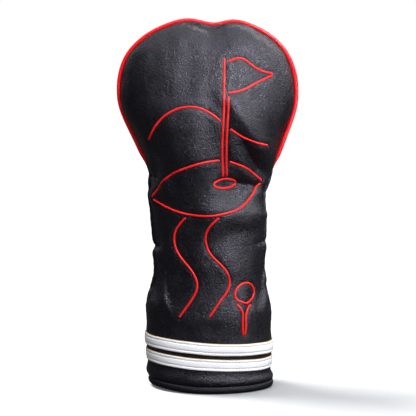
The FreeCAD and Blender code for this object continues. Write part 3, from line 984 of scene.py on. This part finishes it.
def make_hidden_layers(core):
    """Foam, fleece, stabiliser and elastic, which the open hem lets one look at."""
    for side, name in ((FRONT, "front"), (BACK, "back")):
        mesh = slab_mesh(*layer(core, side, FOAM, low=LOWEST_CUT, step=COARSE))
        item = add_piece(f"{name}_foam", mesh, "foam", f"{name}_padding")
        outer, inner = layer(core, side, FLEECE, low=LOWEST_CUT, step=COARSE)
        nap = noise_of(inner, 2.6, 9) * 0.35
        mesh = slab_mesh(outer, inner + unit(inner - outer) * nap[..., None])
        item = add_piece(f"{name}_fleece", mesh, "fleece", f"{name}_lining")
    low, high = corners("embroidery_backing")
    outer, inner = layer(core, FRONT, STABILISER, low[2], high[2], COARSE, high[0])
    clear_of_seam = slab_mesh(outer[:, 1:-1], inner[:, 1:-1])
    item = add_piece("stabiliser_sheet", clear_of_seam, "felt", "embroidery_backing")
    mesh = slab_mesh(*layer(core, BACK, ELASTIC, *WAIST))
    item = add_piece("waist_elastic", mesh, "webbing", "neck_elastic")


# ---------------------------------------------------------------- piping

BEAD_RADIUS = 1.9          # mm


def piping_path(skin):
    """Centre of the piping from its right end over the crown to its left end, and its frame."""
    low = row_of(SEAM_START - 1.0)
    rows = np.arange(low, ROWS - 1.5, 0.6)
    base = Skin(base_skin())
    sides, shifts = [], []
    for column, order in ((0, 1), (HALF, -1)):
        place = base.at(column, rows)[0]
        shift = smoothed(skin.at(column, rows)[0] - place, 120)
        sides.append(place[::order])
        shifts.append(shift[::order])
    line = smoothed(np.concatenate(sides) + np.concatenate(shifts) * 0.7, 14)
    line = even_points(line, 0.9)
    line[:, 1] = 0.25 * noise_of(line, 24.0, 0)
    line = smoothed(line, 4)
    forward = unit(np.gradient(line, axis=0))
    aside = np.tile(np.array([0.0, 1.0, 0.0]), (len(line), 1))
    out = unit(np.cross(aside, forward))
    middle = np.array([0, 0, WIDEST - 30])
    out *= np.sign(np.sum(out * (line - middle), 1))[:, None]
    return line, out, aside


def make_piping(skin):
    """The red piping bead with its sewn-in flange, and the cord inside it."""
    line, out, aside = piping_path(skin)
    count = len(line)
    full = ramp(line[:, 2], SEAM_START + 1, SEAM_START + 24)
    wrinkle = np.array([noise.noise(Vector((i * 0.55, 3.0, 0.0))) for i in range(count)])
    radius = BEAD_RADIUS * (0.42 + 0.58 * full) * (1 + 0.025 * wrinkle)
    centre = line + out * (3.0 * full - 1.3)[:, None]
    angles = np.radians(np.linspace(-150, 150, 21))
    ring = np.stack([np.cos(angles), np.sin(angles)], 1) * radius[:, None, None]
    narrowed = np.stack([np.ones(count), np.minimum(1, radius / 1.2)], 1)
    flange = np.array([[-4.6, 0.62], [-4.6, -0.62]]) * narrowed[:, None]
    bead = swept(centre, out, aside, np.concatenate([ring, flange], 1))
    add_piece("red_piping", loft([bead]), "vinyl", "piping_cover")

    turns = round_turn(12)
    strands = 1 + 0.1 * np.cos(3 * turns + 0.9 * np.arange(count)[:, None])
    thick = 0.95 * (0.4 + 0.6 * full)[:, None] * strands
    ring = np.stack([np.cos(turns), np.sin(turns)], 1)
    cord = swept(centre, out, aside, thick[..., None] * ring)
    add_piece("piping_filler", loft([cord]), "cotton", "piping_cord")


# ---------------------------------------------------------------- stripes, hem and stitches

STITCH_PITCH = 3.0         # mm
LOW_ROW, HIGH_ROW = 2.9, 2.2       # mm, the stitch rows of a stripe from its low and high edge
GROOVE = 0.27              # mm, how deep the stitches press into a stripe
BAND_LIFT = 1.15           # mm, face of a stripe above the leather
BAND_COLUMNS = 864         # stations round a stripe
JOINT = 0.002              # share of a turn left open where a stripe's ends meet at the back
ROUND_THREAD = round_turn(8)


def band_turns():
    """Column positions round a stripe, from its joint at the back right round to it."""
    share = np.linspace(JOINT / 2, 1 - JOINT / 2, BAND_COLUMNS)
    return 0.75 * COLUMNS + share * COLUMNS


def band_profile(width):
    """Height across and lift of a stripe's section, a closed loop that starts under its low edge.

    The third number is 1 on the raw cut edges."""
    low_half, high_half = (
        [(0.0, -0.25, 1), (0.0, 0.45, 1), (0.42, 0.92, 1), (0.62, 1.04, 0),
         (row - 0.5, BAND_LIFT, 0), (row - 0.18, BAND_LIFT - GROOVE, 0),
         (row + 0.18, BAND_LIFT - GROOVE, 0), (row + 0.5, BAND_LIFT + 0.02, 0),
         (width * 0.36, BAND_LIFT + 0.1, 0)]
        for row in (LOW_ROW, HIGH_ROW))
    mirrored = [(width - across, lift, edge) for across, lift, edge in reversed(high_half)]
    return np.array(low_half + mirrored)


def make_stripe(skin, name):
    """One white stripe: a strip with raw edges, its stitch lines pressed into it."""
    low, high = STRIPES[name]
    turns = band_turns()
    profile = band_profile(high - low)
    angle = turns / COLUMNS * 2 * math.pi
    wander = 0.16 * np.sin(5 * angle + low) + 0.1 * np.sin(11 * angle + 2 * low)
    along = lengths_along(skin.at(turns, np.full(len(turns), float(row_of(low))))[0])
    hole = np.abs(np.mod(along / STITCH_PITCH + 0.5, 1) - 0.5) * STITCH_PITCH
    sections = np.empty((len(turns), len(profile), 3))
    for k, (across, lift, _) in enumerate(profile):
        in_groove = min(abs(across - LOW_ROW), abs(high - low - across - HIGH_ROW)) < 0.2
        dimple = 0.45 * bell(hole, 0, 0.55) if in_groove else 0.0
        level = low + across + wander * (0.6 if lift > 0 else 0.5)
        sections[:, k] = skin.at(turns, row_of(level), lift - dimple)[0]
    raw = profile[:, 2] * np.roll(profile[:, 2], -1)
    slots = [*np.tile(raw, len(turns) - 1).astype(int), 0, 0]
    add_piece(name.replace("stripe", "white_stripe"), loft([sections]), "white",
              name, "edge", slots)
    rows = [thread_row(skin, turns, level + wander * 0.6, along, BAND_LIFT - GROOVE)
            for level in (low + LOW_ROW, high - HIGH_ROW)]
    add_piece(f"{name}_threads", loft(rows[0] + rows[1]), "white_thread",
              f"{name}_stitching")


def stitch(centre, out, thick):
    """Sections of one stitch. thick is its radius, or a radius for each point of each section."""
    forward = unit(np.gradient(centre, axis=0))
    aside = unit(np.cross(forward, out))
    ring = np.stack([np.sin(ROUND_THREAD), np.cos(ROUND_THREAD)], 1)
    return swept(centre, np.cross(aside, forward), aside, np.asarray(thick)[..., None] * ring)


def thread_row(skin, turns, levels, along, lift, radius=0.24):
    """Sections of every stitch in a row. Each arches between two needle holes."""
    parts = []
    steps = np.linspace(0.06, 0.94, 8)
    arch = np.array([-0.34, -0.02, 0.13, 0.2, 0.2, 0.13, -0.02, -0.34])
    thick = radius * (1 + 0.2 * np.cos(2 * ROUND_THREAD[None] - 1.1 * np.arange(8)[:, None]))
    for start in np.arange(STITCH_PITCH * 0.5, along[-1] - STITCH_PITCH * 1.2, STITCH_PITCH):
        at = start - STITCH_PITCH * 0.5 + steps * STITCH_PITCH
        turn, level = np.interp(at, along, turns), np.interp(at, along, levels)
        parts.append(stitch(*skin.at(turn, row_of(level), lift + arch), thick))
    return parts


# Section of the folded binding, as (outwards, upwards) in mm from the foot of the leather: from
# the top of its outer face down, under the leather's edge and up inside, and back along its fold.
HEM_SECTION = np.array([
    (-1.0, 6.4), (-0.1, 6.35), (0.8, 5.9), (1.45, 5.0), (1.75, 3.8), (1.7, 2.5), (1.25, 1.2),
    (0.5, 0.35), (-0.5, 0.0), (-4.0, 0.0), (-7.4, 0.0), (-8.4, 0.3), (-8.95, 1.1), (-9.0, 2.4),
    (-9.0, 8.7), (-8.6, 9.0), (-8.0, 8.7), (-7.95, 2.4), (-7.5, 1.3), (-4.0, 1.15),
    (-0.6, 1.3), (0.1, 2.4), (0.0, 4.4), (-1.1, 5.2),
])
HEM_ROW = (1.1, 5.75)      # mm, the row of stitches through it


def make_hem():
    """The folded binding at the hem, with its row of stitches."""
    turns = np.arange(0, COLUMNS, 0.5)
    foot = Skin(skewed(base_skin())).at(turns, np.zeros(len(turns)))[0]
    flat_out = unit(foot * np.array([1.0, HALF_WIDTH[0] ** 2 / HALF_DEPTH[0] ** 2, 0.0]))
    upright = np.tile([0.0, 0.0, 1.0], (len(turns), 1))
    angle = turns / COLUMNS * 2 * math.pi
    wave = 1 + (0.18 * np.sin(7 * angle) + 0.12 * np.sin(13 * angle + 1)) / 8
    shapes = HEM_SECTION * np.stack([np.ones(len(turns)), wave], 1)[:, None]
    sections = swept(foot, flat_out, upright, shapes)
    mesh = loft([sections], closed_path=True)
    add_piece("hem_lip", mesh, "binding", "hem_binding")

    seam = foot + flat_out * HEM_ROW[0] + upright * HEM_ROW[1]
    even = even_points(np.concatenate([seam, seam[:1]]), STITCH_PITCH)
    parts = []
    steps = np.linspace(0.08, 0.92, 6)[:, None]
    arch = np.array([-0.3, 0.0, 0.14, 0.14, 0.0, -0.3])[:, None]
    for start, end in zip(even, even[1:]):
        out = unit(np.array([start[0], start[1] * 1.6, 25.0]))
        parts.append(stitch(start + (end - start) * steps + out * arch, out, 0.22))
    add_piece("hem_threads", loft(parts), "black_thread", "hem_stitching")


def dress_cad_nodes():
    """Materials for the CAD nodes that stay: the seam threads inside the cover."""
    for name in ("head_seam_stitching", "side_seam_stitching", "elastic_stitching"):
        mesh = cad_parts[name].data
        mesh.materials.clear()
        mesh.materials.append(LOOKS["black_thread"])


# ---------------------------------------------------------------- studio

FLOOR_GLOW = 0.10          # how much the floor shines by itself to the camera
FLOOR_RADIUS = 6000.0      # mm
CAP = (0.60, 0.86)         # heights of the sky, as sines, between which it brightens overhead
HEAD, WAISTLINE = (0.0, 0.0, 0.27), (0.0, 0.0, 0.15)
# Soft lights: place and target in metres, width and height in metres, watts and colour. A key
# close above the head, a low one on the right, weaker ones behind, and a matt fill in front,
# which brightens the cloth and thread but doesn't shine on the leather.
LIGHTS = {
    "key": ((0.20, -0.45, 0.62), HEAD, (0.3, 0.3), 5.4, (0.98, 0.98, 1.0)),
    "right": ((0.50, -0.50, 0.20), WAISTLINE, (0.3, 0.3), 2.3, (0.98, 0.98, 1.0)),
    "side": ((1.25, 0.45, 1.15), HEAD, (0.7, 0.9), 15, (1, 1, 1)),
    "back": ((0.25, 1.35, 1.15), HEAD, (0.9, 0.6), 20, (1, 1, 1)),
    "left": ((-0.95, 1.15, 0.80), WAISTLINE, (0.6, 0.8), 1.3, (0.9, 0.95, 1.0)),
    "fill": ((-0.5, -1.2, 0.8), WAISTLINE, (0.9, 0.7), 6, (1, 1, 1)),
}
MATT = "fill"


def seen_and_lit(tree, output, seen, lit):
    """Ends a node tree with one shader for the camera and another for light that bounces."""
    to_camera = add_node(tree, "LightPath", out="Is Camera Ray")
    both = add_node(tree, "MixShader", {0: to_camera, 1: lit, 2: seen})
    tree.links.new(both, tree.nodes.new(output).inputs[0])


def bare_tree(owner):
    """The emptied node tree of a material or world."""
    owner.use_nodes = True
    owner.node_tree.nodes.clear()
    return owner.node_tree


def make_floor():
    """A round floor that looks white and takes shadows, but throws little light back."""
    material = bpy.data.materials.new("floor")
    tree = bare_tree(material)
    dim = add_node(tree, "BsdfDiffuse", {"Color": (0.06, 0.06, 0.062, 1)})
    pale = add_node(tree, "BsdfDiffuse", {"Color": (0.8, 0.8, 0.8, 1)})
    glow = add_node(tree, "Emission", {"Strength": FLOOR_GLOW})
    pale = add_node(tree, "AddShader", {0: pale, 1: glow})
    seen_and_lit(tree, "ShaderNodeOutputMaterial", pale, dim)
    turns = round_turn(96)
    rim = FLOOR_RADIUS * np.stack([np.cos(turns), np.sin(turns), 0 * turns], 1)
    floor = add_mesh("floor", rim, [list(range(len(rim)))], [material], smooth=False)
    return floor


def make_world(zenith, horizon):
    """White to the camera. As light, bright overhead and dim all round."""
    world = bpy.data.worlds.new("studio")
    tree = bare_tree(world)
    place = add_node(tree, "TexCoord", out="Generated")
    height = add_node(tree, "SeparateXYZ", {0: place}, "Z")
    rise = add_node(tree, "MapRange", {"Value": height, "From Min": CAP[0], "From Max": CAP[1],
                                       "To Min": horizon, "To Max": zenith},
                    "Result", interpolation_type="SMOOTHSTEP")
    light = add_node(tree, "Background", {"Color": (0.92, 0.95, 1.0, 1), "Strength": rise})
    seen = add_node(tree, "Background", {"Color": (1, 1, 1, 1)})
    seen_and_lit(tree, "ShaderNodeOutputWorld", seen, light)
    bpy.context.scene.world = world


def aim(item, place, target):
    """Puts a lamp or camera at a place, in metres, facing a target."""
    item.location = place
    item.rotation_euler = (Vector(target) - Vector(place)).to_track_quat("-Z", "Y").to_euler()
    bpy.context.scene.collection.objects.link(item)


def make_light(name, place, target, size, power, colour, receivers):
    """A soft rectangular light on the cover alone."""
    data = bpy.data.lights.new(name, "AREA")
    data.shape = "RECTANGLE"
    data.size, data.size_y = size
    data.energy = power
    data.color = colour
    item = bpy.data.objects.new(name, data)
    aim(item, place, target)
    item.visible_camera = False
    item.visible_glossy = name != MATT
    item.light_linking.receiver_collection = receivers


def make_floor_light(floor):
    """A broad sun that lights the floor alone, so that the cover's shadow falls to the right."""
    data = bpy.data.lights.new("floor_sun", "SUN")
    data.energy = 2.9
    data.angle = math.radians(24)
    item = bpy.data.objects.new("floor_sun", data)
    aim(item, (-0.62, 0.22, 1.0), (0, 0, 0))
    only_floor = bpy.data.collections.new("lit_by_floor_sun")
    only_floor.objects.link(floor)
    item.light_linking.receiver_collection = only_floor


def all_but(floor):
    """A set of receivers that leaves the floor out."""
    receivers = bpy.data.collections.new("all_but_floor")
    receivers.objects.link(floor)
    receivers.collection_objects[0].light_linking.link_state = "EXCLUDE"
    return receivers


def make_studio(floor):
    """The world, the floor's own light, and the lights on the cover."""
    make_world(zenith=1.6, horizon=0.040)
    make_floor_light(floor)
    cover = all_but(floor)
    for name, settings in LIGHTS.items():
        make_light(name, *settings, cover)


def make_camera():
    """The camera, seen slightly from the cover's right and a little above its middle."""
    azimuth, distance, height, middle = math.radians(5), 1.1, 0.252, 0.161
    data = bpy.data.cameras.new("camera")
    data.lens = 106
    data.sensor_width = 36
    camera = bpy.data.objects.new("camera", data)
    place = (distance * math.sin(azimuth), -distance * math.cos(azimuth), height)
    aim(camera, place, (0, 0, middle))
    bpy.context.scene.camera = camera


def build():
    """Makes the camera, the studio and every piece."""
    make_camera()
    make_studio(make_floor())
    grid, core, smooth_out = make_skin()
    skin = Skin(marked_by_motif(grid))
    make_panels(skin, smooth_out)
    make_hidden_layers(Skin(core, smooth_out))
    make_piping(skin)
    for name in STRIPES:
        make_stripe(skin, name)
    make_hem()
    make_motif(skin)
    dress_cad_nodes()
    bpy.context.scene.view_settings.view_transform = "Standard"


build()
